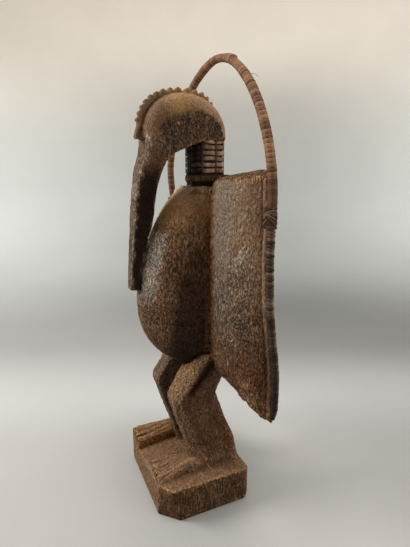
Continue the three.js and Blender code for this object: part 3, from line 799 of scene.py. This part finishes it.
def dark(m):
    """Dark: patina and painted shade on the beak's sides, painted shade on the belly's left side
    and in every hollow and groove, patina and painted shadow on the collar, and the neck under the
    sleeve.
    """
    z, out = m.z, m.out
    painted_shade = m.belly * smooth(m.x, 12, 34) * BELLY_SHADE_SHARE(z) * smooth(m.y - BELLY_SHADE_FROM(z), 0, 24)
    neck = smooth(z, 520, 524) * fall(z, 572, 578) * (out < 30) * smooth(m.y, 4, 10)
    # The beak's sides: dark patina and painted shade, where the belly and wings block the light
    head = (0.97 * m.beak_side * fall(z, 515, 550) + 0.35 * m.cheek + 0.06 * m.crest
            + 0.36 * m.brow * m.cap + 0.40 * m.cap * m.cheek_line * (m.y < 25)
            # The collar: dark patina and the painted shadow of the head, darkest along its foot as
            # a painted shadow line under the ledge. The neck under the sleeve is painted dark, so
            # the gaps in the plait read dark
            + 0.85 * neck * (1 - m.cheek) + m.collar * mix(0.97, 0.50, smooth(z, 511, 514)))
    # Painted shade on the belly's left side, lighter by the valley; the belly also darker low down
    body = painted_shade * (1 - 0.6 * smooth(m.y, 9, 15)) + 0.10 * m.belly * fall(z, 235, 290)
    wing = (0.35 * m.wing_top * m.left * fall(out, 90, 140) * (1 - m.collar)
            + 0.42 * m.wing_front * smooth(out, 118, 155) * fall(z, 270, 380)
            # painted shade in the groove beside the wing's rim
            + 0.35 * m.rim_step)
    # Painted shade in the thigh creases
    below = (0.20 * m.leg * m.flat_side + 0.25 * m.leg * m.right + 0.78 * m.crease
             # painted shade in the toe grooves
             + m.base * (0.32 * m.flat_side + 0.35 * m.corner) + 0.30 * m.foot * m.toe_lines)
    # Painted shade in every hollow, more between the crest's teeth, none in the valley
    hollow = 0.45 * m.hollow * (1 + 0.4 * m.crest) * (1 - m.valley)
    return head + body + wing + below + hollow


def dust_and_light(m):
    """Dust and rubbed wood on what faces up and on rims and edges, with painted light on the base's
    front, the left leg's front, the right wing's top, the valley's lit wall and the left foot's toe
    ridges.
    """
    z, up = m.z, smooth(m.nz, 0.4, 0.8)
    shoulders = 0.8 * up * (z > 478) * (z < 545) * (1 - m.collar) * (m.out < 60)
    skull = m.cap * (0.40 * smooth(m.nz, 0.4, 0.9) + 0.75 * smooth(m.y, 12, 38)) * (1 - m.crest)
    wing = 0.35 * m.rim * smooth(z, 260, 360) + 0.32 * bump_at(m.out, 124, 30) * smooth(z, 310, 370)
    # Painted highlight along the left foot's toe ridges
    toes = m.foot * (m.x > 20) * smooth(m.edge, 0.15, 0.6) * (z > 52)
    # painted light on the base's front, which faces the key light
    return (0.40 * m.ground + 0.55 * m.base * smooth(-m.ny, 0.6, 0.9) * (m.out < 92)
            # painted light on the right wing's top
            + shoulders + skull + m.wing_front * wing + 0.6 * m.fray + 0.9 * m.far_top
            # painted light on the valley's lit wall, low down
            + 0.25 * m.valley * fall(z, 300, 350) + 0.55 * m.crest * m.flat_side
            # painted light on the left leg's front and the left thigh
            + 0.6 * toes + 0.20 * m.leg * m.front * m.left + 0.30 * m.thigh)


def worn(m):
    """Bare wood on worn edges."""
    return m.edge * (0.6 + 0.15 * m.beak) * (1 - m.rim) + 0.5 * m.fray


def pale(m):
    """Chalky specks at the brow, round the scar and along the beak; painted highlight specks on the
    belly's polished patch; painted light on the right wing's top and the right shoulder.
    """
    brow = bump_at(m.y, -60, 9) * bump_at(m.z, 572, 9) * smooth(m.out, 10, 16)
    brow_specks = smooth(noise(m.p, 2.6, seed=95), 0.5, 0.62)
    patch_specks = (smooth(m.out, 8, 16) * smooth(m.z, 355, 385)
                    * smooth(noise(m.p, 2.8, seed=99), 0.45, 0.6))
    beak_specks = smooth(m.edge, 0.3, 0.8) * smooth(noise(m.p, (4, 4, 8), seed=87), 0.5, 0.65)
    # Painted highlight specks on the belly's polished patch
    return (0.75 * brow * brow_specks + m.gloss_and_highlight * (0.42 + 0.9 * patch_specks)
            + m.wing_front * (1.2 * m.scarred + 0.5 * m.chalky)
            # painted light on the right wing's top and the right shoulder
            + 0.35 * m.beak * beak_specks + 0.85 * m.far_top + 0.25 * m.shoulder)


def polish(m):
    """Clear coat of handling polish: on the belly, on the wings' inner faces and on the pale
    specks.
    """
    belly = m.gloss_and_highlight + 0.4 * m.belly * fall(m.out, 22, 50) * smooth(m.z, 290, 360)
    return (belly * fall(m.z, 420, 445)
            + 0.35 * m.wing_front * fall(m.out, 92, 150) + 0.7 * pale(m))


def calm(m):
    """Where the tool marks are worn smooth."""
    wing = 0.04 + 0.16 * fall(m.out, 85, 110) + 0.58 * smooth(m.z, 370, 430)
    return (0.62 * m.ground + (0.35 * m.foot + 0.22 * m.base) * (1 - m.ground) + 0.30 * m.leg
            + 0.90 * m.cap + 0.6 * m.crest + 0.56 * m.beak_side
            + m.belly * (0.85 * smooth(m.z, 435, 475) + 0.10 * (1 - m.gloss_and_highlight)) + 0.40 * m.gloss_and_highlight
            + m.wing_front * (0.8 * m.rim + wing))


def relief(m):
    """Which points lie deep between the tool marks, and which stand proud, with random waves; the
    wood's colour is darker at the deep ones and lighter at the proud ones, as painted shade and
    light.
    """
    waves = rough(m.p, 6, seed=61, octaves=2)
    return clamp(0.5 + 0.9 * (m.cut - 0.55) + 0.8 * (waves - 0.5))


def grain(m):
    """Where the wood's long fibres show."""
    return (m.flat_side * (m.base + 0.3 * m.leg) + 0.35 * m.cheek + 0.3 * m.ground
            + 0.8 * m.beak_front + 0.4 * m.wing_front)


def swirl(m):
    """The lower arcs of the rings round the left wing's knot."""
    x, _, z = SWIRL_AT
    arcs = fall(np.hypot(m.x - x, m.z - z + 15), 6, 20)
    return arcs * m.wing_front * smooth(z - m.z, 0, 8)


def paint(mesh):
    """Writes the fields that the wood's material reads, each named after its function."""
    marks = Marks(mesh)
    for share in (golden, grey, warm, dark, dust_and_light, worn, pale, polish, calm, relief, grain, swirl):
        write_field(mesh, share.__name__, clamp(share(marks)))


# Wound cane

COLUMNS, ROWS_PER_TURN = 20, 5
PITCH_SPREAD = (0.82, 1.18)  # how much each turn's pitch strays
SEAM = 2e-5  # metres within which the helix's two edges join
CANE_SHADE_AND_STAIN, CANE_SPECULAR = (0.009, 0.004, 0.002), 0.15


def cane_material(name, light, deep, line, roughness):
    n = Nodes(name)
    fibre = n.noise(0.5)
    patch = n.ramp(n.noise(14.0), 0.5, 0.75, 0.0, 0.6)
    colour = n.blend(deep, light, n.ramp(n.field("tone"), 0.0, 1.0))
    # Painted shade and stain: painted shade on the rods and the plait's front, darker low strands
    # on the knots
    colour = n.blend(colour, CANE_SHADE_AND_STAIN, n.field("stain"))
    colour = n.blend(colour, deep, patch)
    colour = n.blend(colour, line, n.ramp(n.field("groove"), 0.72, 0.15))
    colour = n.tint(colour, n.ramp(fibre, 0.3, 0.7, 0.6, 1.3))
    sheen = n.ramp(fibre, 0.3, 0.7, roughness - 0.1, roughness + 0.1)
    return n.finish(colour, sheen, n.bump(fibre, 0.25), CANE_SPECULAR)


def wound(name, path, material, seed, radius_at, pitch, depth, dull,
          lift=None, extra=None, painted_shade=None):
    """A cane wound in one close helix. radius_at, pitch, dull and lift are functions of the
    place along it; lift raises the side that faces away from the path's middle. extra adds
    loose strands; the last one paints shade by how far a point faces the back and by its place."""
    random = np.random.default_rng(seed)
    length = np.concatenate([[0], np.cumsum(np.linalg.norm(np.diff(path, axis=0), axis=1))])
    total = length[-1]
    turns = [-pitch(0.0)]
    while turns[-1] < total:
        turns.append(turns[-1] + pitch(max(turns[-1], 0.0)) * random.uniform(*PITCH_SPREAD))
    turns = np.array(turns)
    tones = random.uniform(0, 1, len(turns) + 2)
    rises = random.uniform(0, 1, len(turns) + 2)

    # Each row of the grid goes once round the cane and one turn along it
    rows = (len(turns) - 1) * ROWS_PER_TURN
    i = np.arange(rows + 1)[:, None] / ROWS_PER_TURN
    j = np.arange(COLUMNS + 1)[None, :] / COLUMNS
    turn = clamp(i + j, 0, len(turns) - 1 - 1e-6)
    along = clamp(np.interp(turn, np.arange(len(turns)), turns), 0, total)
    index = np.floor(turn).astype(int)
    groove = clamp(np.sin(np.clip(turn - np.floor(turn), 0, 1) * math.pi) * 1.9)

    # The cane's radius, less between two turns and rounded at both ends
    end_length, end_share = 4, 0.55
    near_end = clamp(np.minimum(along, total - along) / end_length)
    rounding = np.sqrt(clamp(1 - (1 - near_end) ** 2))
    reach = radius_at(along) - depth * (1 - groove) - 0.25 * depth * rises[index]
    reach = reach * mix(end_share, 1, rounding)
    angle = j * FULL_TURN
    if lift is not None:
        reach = reach + lift(along) * smooth(-np.cos(angle), 0.3, 0.9)
    side, up = frames(path, (0, 1, 0))
    centre, across, over = (
        np.stack([np.interp(along, length, v[:, k]) for k in range(3)], axis=-1)
        for v in (path, side, up))
    rings = (centre + across * (np.cos(angle) * reach)[..., None]
             + over * (np.sin(angle) * reach)[..., None])

    skin = Skin()
    tone = clamp(tones[index] * 0.55 + 0.45 * rises[index]) * (1 - dull(along))
    stain = 0.0 if painted_shade is None else painted_shade(np.sin(angle), along)
    skin.grid(rings, close_rows=False, ends=False, tone=tone, groove=groove, stain=stain)
    if extra is not None:
        extra(skin)
    return close_up(skin.build(name, material))


def close_up(piece):
    """Joins a helix's seam and shuts its ends."""
    with editing(piece.data) as work:
        bmesh.ops.remove_doubles(work, verts=work.verts, dist=SEAM)
        bmesh.ops.dissolve_degenerate(work, edges=work.edges, dist=SEAM / 2)
        bmesh.ops.holes_fill(work, edges=[e for e in work.edges if e.is_boundary])
        bmesh.ops.recalc_face_normals(work, faces=work.faces)
    piece.data.shade_smooth()
    return piece


# The hoop and the canes along the wings' edges

EDGE_Y = through([[180, 65], [225, 67], [265, 65.5], [309, 59.5], [351, 54.2], [415, 51.5],
                  [485, 51], [515, 46.5]])  # by height
HOOP_LEAN = through([[0, 51], [0.3, 47.5], [0.45, 50.5], [0.57, 53], [0.68, 50.5], [0.8, 45],
                     [0.92, 41.5], [1, 46.7]])  # y by the share of the way over
SWEEP = 4.0  # how much further forward the right wing's edge is
HOOP_X, HOOP_RADIUS, SPRINGING, HOOP_RISE = 170.8, 6.4, 490.0, 195.5
ROD_X, ROD_RADIUS, ROD_TIP_RADIUS, ROD_BOTTOM, ROD_PITCH = 169.8, 5.5, 4.0, 188.2, 4.1
KNOT_Y, KNOT_Z = 51.1, 469.0
STRAY_ROOT = (114.0, 45.0, 640.0)


def lip(along):
    """The lifted end of the last strip, near the crown."""
    return 2.4 * smooth(along, 234, 236) * fall(along, 244, 268)


def stray(skin):
    """One loose fibre on the hoop's near shoulder."""
    t = np.linspace(0, 1, 14)
    path = STRAY_ROOT + np.stack([11 * t, 9 * t, 3.5 * t * (1 - t) * 4 - 1.5 * t], axis=1)
    strand(skin, path, 0.7, 0.5, (0, 0, 1), False, 0.8)


def hoop():
    share = np.linspace(0, 1, 400)
    arch = np.stack([HOOP_X * np.cos(math.pi * share), HOOP_LEAN(share),
                     SPRINGING + HOOP_RISE * np.sin(math.pi * share)], axis=1)
    foot = np.stack([np.full(5, HOOP_X), np.full(5, KNOT_Y),
                     np.linspace(KNOT_Z + 1, SPRINGING - 5, 5)], axis=1)
    path = np.concatenate([foot, arch, foot[::-1] * [-1, 1, 1] - [0, SWEEP, 0]])
    total = np.sum(np.linalg.norm(np.diff(path, axis=0), axis=1))

    def pitch(t):
        """Broad turns up the near side, close ones over the crown."""
        return 2.3 + 3.6 * float(smooth(t, 45, 60) * fall(t, 130, 160))

    def dull(t):
        """Soot on the near foot and a little on the far side."""
        return 0.60 * fall(t, 30, 85) + 0.15 * smooth(t, 380, 560)

    def thick(t):
        """Thinner at the crown and inside the lashings."""
        return (HOOP_RADIUS - 0.8 * smooth(t, 190, 240) * fall(t, 290, 340)
                - 0.7 * fall(t, 8, 18) - 0.7 * smooth(t, total - 18, total - 8))

    material = cane_material("hoop_cane_wound", (0.30, 0.158, 0.078), (0.085, 0.034, 0.016),
                             (0.014, 0.006, 0.003), 0.6)
    piece = wound("wound_hoop", path, material, seed=3, radius_at=thick, pitch=pitch,
                  depth=1.2, dull=dull, lift=lip, extra=stray)
    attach(piece, "root")
    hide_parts("cane_hoop")


def rods():
    def thick(t):
        """Thinner at the wing's tip."""
        return mix(ROD_TIP_RADIUS, ROD_RADIUS, smooth(t, 0, 16))

    def dull(t):
        return 0.1 + 0.5 * fall(t, 30, 90)

    def painted_shade(back, t):
        """Painted shade on the side that faces front, in the groove against the wing's rim, most of
        all low down.
        """
        return fall(back, -0.3, 0.5) * mix(0.86, 0.58, smooth(t, 90, 190))

    material = cane_material("edge_cane_wound", (0.300, 0.200, 0.130), (0.030, 0.014, 0.008),
                             (0.005, 0.0025, 0.001), 0.55)
    for side, word in ((1, "left"), (-1, "right")):
        heights = np.linspace(ROD_BOTTOM, KNOT_Z - 1.2, 160)
        across = side * (ROD_X - 1.8 * fall(heights, 188, 204))
        path = np.stack([across, EDGE_Y(heights) - SWEEP * (side < 0), heights], axis=1)
        piece = wound(word + "_wound_edge", path, material, seed=11 + side, radius_at=thick,
                      pitch=lambda t: ROD_PITCH, depth=2.0, dull=dull, painted_shade=painted_shade)
        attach(piece, "root")
        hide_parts(word + "_edge_rod")


# The plaited sleeve round the neck

NECK_HALF_X, NECK_HALF_Y = 26.0, 24.8
SLEEVE_BOTTOM, SLEEVE_HEIGHT, ROWS = 524.3, 50, 6
ROW = SLEEVE_HEIGHT / ROWS
STAKES, STAKE_TURN = 8, 0.23  # uprights, and the turn at which the first stands
STAKE_POINTS = 61


def neck_ring(turn, grow):
    c, s = np.cos(turn), np.sin(turn)
    reach = (np.abs(c) ** 3 + np.abs(s) ** 3) ** (-1 / 3)
    return (NECK_HALF_X + grow) * reach * c, NECK_Y + (NECK_HALF_Y + grow) * reach * s


def sleeve():
    skin = Skin()
    random = np.random.default_rng(29)
    turn, outwards = round_trip(160)
    # Painted shadow of the head and beak on the plait's front
    facing = smooth(-np.sin(turn), 0.30, 0.62)
    over = clamp(0.5 - 2.2 * np.cos((turn - STAKE_TURN) * STAKES), -1, 1)
    px, py = neck_ring(turn, 1.55 + 0.75 * over)
    for row in range(ROWS):
        sag = 1.6 * (noise(points_at(px, py, row * 9), 9, seed=31) - 0.5)
        path = points_at(px, py, SLEEVE_BOTTOM + (row + 0.5) * ROW + sag)
        fleck = noise(points_at(px, py, row * 40), 5, seed=33)
        tone = random.uniform(0.45, 0.9) * (0.10 + 0.16 * over + 1.25 * fleck)[:, None]
        strand(skin, path, random.uniform(5.7, 7.2), 1.6, outwards, True, tone, 10,
               facing[:, None])
    heights = np.linspace(SLEEVE_BOTTOM + 0.3, SLEEVE_BOTTOM + ROWS * ROW - 0.3, STAKE_POINTS)
    weave = 1.7 + 0.3 * np.sin(math.pi * (heights - SLEEVE_BOTTOM) / ROW) ** 2
    for stake in range(STAKES):
        middle = STAKE_TURN + stake * FULL_TURN / STAKES
        px, py = neck_ring(np.full(STAKE_POINTS, middle), weave)
        # Each upright is darkened at least 0.45, and fully where the painted shadow falls on the
        # front
        strand(skin, points_at(px, py, heights), 2.7, 1.2,
               (math.cos(middle), math.sin(middle), 0), False, random.uniform(0.0, 0.15), 8,
               max(0.45, float(smooth(-math.sin(middle), 0.30, 0.62))))
    material = cane_material("neck_cane_plaited", (0.36, 0.225, 0.145), (0.10, 0.055, 0.033),
                             (0.016, 0.008, 0.005), 0.55)
    piece = skin.build("plaited_sleeve", material)
    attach(piece, "root")
    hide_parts("neck_sleeve")


# Lashings: crossing strands bound round the hoop's foot and the wing's edge

UNDER_STRANDS, CROSSING_STRANDS = 16, 12
KNOT_RADIUS, KNOT_HALF_HEIGHT, KNOT_REACH = 6.5, 12.0, 179.2


def lashings():
    material = cane_material("binding_fibre_lashed", (0.170, 0.100, 0.060),
                             (0.035, 0.017, 0.010), (0.006, 0.003, 0.002), 0.7)
    turn, outwards = round_trip(56)
    top = KNOT_HALF_HEIGHT + 0.4
    for side, word in ((1, "left"), (-1, "right")):
        skin = Skin()
        random = np.random.default_rng(47 + side)
        for i in range(UNDER_STRANDS + CROSSING_STRANDS):
            if i < UNDER_STRANDS:
                level = i / (UNDER_STRANDS - 1) * 2 - 1
                tilt, swell = random.uniform(0, 0.8), 0.0
            else:
                level = (i - UNDER_STRANDS) / (CROSSING_STRANDS - 1) * 1.5 - 0.75
                tilt, swell = random.uniform(5, 10) * (-1) ** i, 1.1 * (1 - level ** 2)
            radius = KNOT_RADIUS + swell + random.uniform(-0.1, 0.5)
            px = side * (HOOP_X - 0.8) + (radius + 0.8) * np.cos(turn)
            px = clamp(px, -KNOT_REACH, KNOT_REACH)
            py = KNOT_Y - SWEEP * (side < 0) - 1.9 + radius * np.sin(turn)
            rise = tilt * np.sin(turn + random.uniform(0, 6.28))
            pz = KNOT_Z + clamp(level * KNOT_HALF_HEIGHT + rise, -top, top)
            strand(skin, points_at(px, py, pz), 1.9, 1.3, outwards, True,
                   random.uniform(0, 1), 8, random.uniform(0.1, 0.9) * smooth(-level, -0.3, 0.6))
        piece = skin.build(word + "_bound_knot", material)
        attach(piece, "root")
        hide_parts(word + "_lashing")


# The studio, in metres: pale paper that curves up all round, soft light, and the camera

PAPER_FLAT, PAPER_CURVE, PAPER_HIGH, PAPER_POINTS = 1.5, 0.9, 2.6, 96
VIEW_CENTRE, VIEW_START = 0.035, 0.631  # how far aside and how far back the camera stands
NEAR_LEFT, NEAR_RIGHT = (0.335, 0.332, 0.327), (0.362, 0.358, 0.350)
UNDERFOOT = (0.378, 0.384, 0.380)
SHADE_LEFT, SHADE_RIGHT = (0.257, 0.261, 0.259), (0.205, 0.209, 0.207)
BEHIND, WALL, WALL_TOP = (0.55, 0.58, 0.58), (0.66, 0.695, 0.69), (1.01, 0.93, 0.84)
LIGHTS_AIM = (0, 0, 0.3)
WORLD_COLOUR, WORLD_STRENGTH = (0.94, 0.93, 0.90, 1), 0.50


def paper_material():
    n = Nodes("studio_paper")
    place = n.add("TexCoord").outputs["Object"]
    height = n.add("SeparateXYZ", {"Vector": place}).outputs["Z"]
    flat = n.add("VectorMath", {0: place, 1: (1, 1, 0)}, operation="MULTIPLY").outputs[0]
    away, aside = (
        n.add("VectorMath", {0: flat, 1: way}, operation="DOT_PRODUCT").outputs["Value"]
        for way in (AWAY, ASIDE))
    spread = n.math("DIVIDE", n.math("SUBTRACT", aside, VIEW_CENTRE),
                    n.math("ADD", away, VIEW_START))
    right = n.ramp(spread, -0.12, 0.22)
    colour = n.blend(n.blend(NEAR_LEFT, NEAR_RIGHT, right), UNDERFOOT, n.ramp(away, 0.05, 0.25))
    # Painted shadow: a darker band on the floor just behind the figure, darker to the right; then
    # the paper lightens up the wall, lightest at its top as painted light
    shade = n.blend(SHADE_LEFT, SHADE_RIGHT, right)
    for layer, share in ((shade, n.ramp(away, 0.23, 0.62)), (BEHIND, n.ramp(away, 0.70, 1.9)),
                         (WALL, n.ramp(height, 0.0, 0.4)), (WALL_TOP, n.ramp(height, 0.4, 1.7))):
        colour = n.blend(colour, layer, share)
    # Painted shadow: darker behind the figure than at both sides of it
    halo = n.ramp(n.gap(spread, 0.08), 0.05, 0.75, 0.70, 1.30)
    halo = n.between(halo, 1.0, n.ramp(height, 0.95, 1.45))
    colour = n.tint(colour, n.between(1.0, halo, n.ramp(away, 0.55, 1.1)))
    colour = n.tint(colour, n.ramp(n.noise(240.0, detail=2.0), 0.3, 0.7, 0.985, 1.015))
    return n.finish(colour, 0.85, n.bump(n.noise(3.0), 0.05), 0.1)


def stage():
    bend = np.linspace(0, math.pi / 2, 14)
    wall = PAPER_FLAT + PAPER_CURVE
    radius = np.concatenate([[0.4, 0.9], PAPER_FLAT + PAPER_CURVE * np.sin(bend), [wall] * 3])
    height = np.concatenate([[0, 0], PAPER_CURVE * (1 - np.cos(bend)),
                             np.linspace(1.2, PAPER_HIGH, 3)])
    turn = np.linspace(0, FULL_TURN, PAPER_POINTS, endpoint=False)
    points = [(0, 0, 0)]
    for r, h in zip(radius, height):
        points += [(r * math.cos(t), r * math.sin(t), h) for t in turn]
    round_on = [(j, (j + 1) % PAPER_POINTS) for j in range(PAPER_POINTS)]
    faces = [(0, 1 + j, 1 + k) for j, k in round_on]
    for i in range(len(radius) - 1):
        a, b = 1 + i * PAPER_POINTS, 1 + (i + 1) * PAPER_POINTS
        faces += [(a + j, b + j, b + k, a + k) for j, k in round_on]
    mesh = bpy.data.meshes.new("studio_floor")
    mesh.from_pydata(points, [], faces)
    mesh.shade_smooth()
    mesh.materials.append(paper_material())
    new_object("studio_floor", mesh)


def area(name, place, size, power, colour):
    """A round soft light that looks at LIGHTS_AIM."""
    light = bpy.data.lights.new(name, "AREA")
    light.shape = "DISK"
    light.size = size
    light.energy = power
    light.color = colour
    obj = new_object(name, light)
    obj.location = place
    x, y, z = np.array(LIGHTS_AIM) - np.array(place)
    obj.rotation_euler = (math.atan2(math.hypot(x, y), -z), 0, math.atan2(y, x) - math.pi / 2)


def lights():
    area("key", (-0.60, -1.25, 1.15), 0.8, 28, (1.0, 0.97, 0.92))
    area("top", (-0.05, 0.1, 2.1), 1.3, 26, (1.0, 0.98, 0.94))
    area("fill", (1.2, 0.9, 0.8), 1.0, 7, (0.98, 0.98, 1.0))
    world = bpy.data.worlds.new("studio")
    world.use_nodes = True
    background = world.node_tree.nodes["Background"]
    background.inputs["Color"].default_value = WORLD_COLOUR
    background.inputs["Strength"].default_value = WORLD_STRENGTH
    scene.world = world
    scene.view_settings.view_transform = "Standard"
    scene.view_settings.look = "None"


def camera():
    eye = new_object("camera", bpy.data.cameras.new("camera"))
    eye.location = CAMERA_AT
    eye.rotation_euler = (math.radians(CAMERA_TILT), 0, math.radians(CAMERA_HEADING))
    eye.data.lens = LENS
    eye.data.sensor_width = SENSOR_WIDTH
    eye.data.clip_start = 0.01
    scene.camera = eye


camera()
figure()
hoop()
rods()
sleeve()
lashings()
stage()
lights()
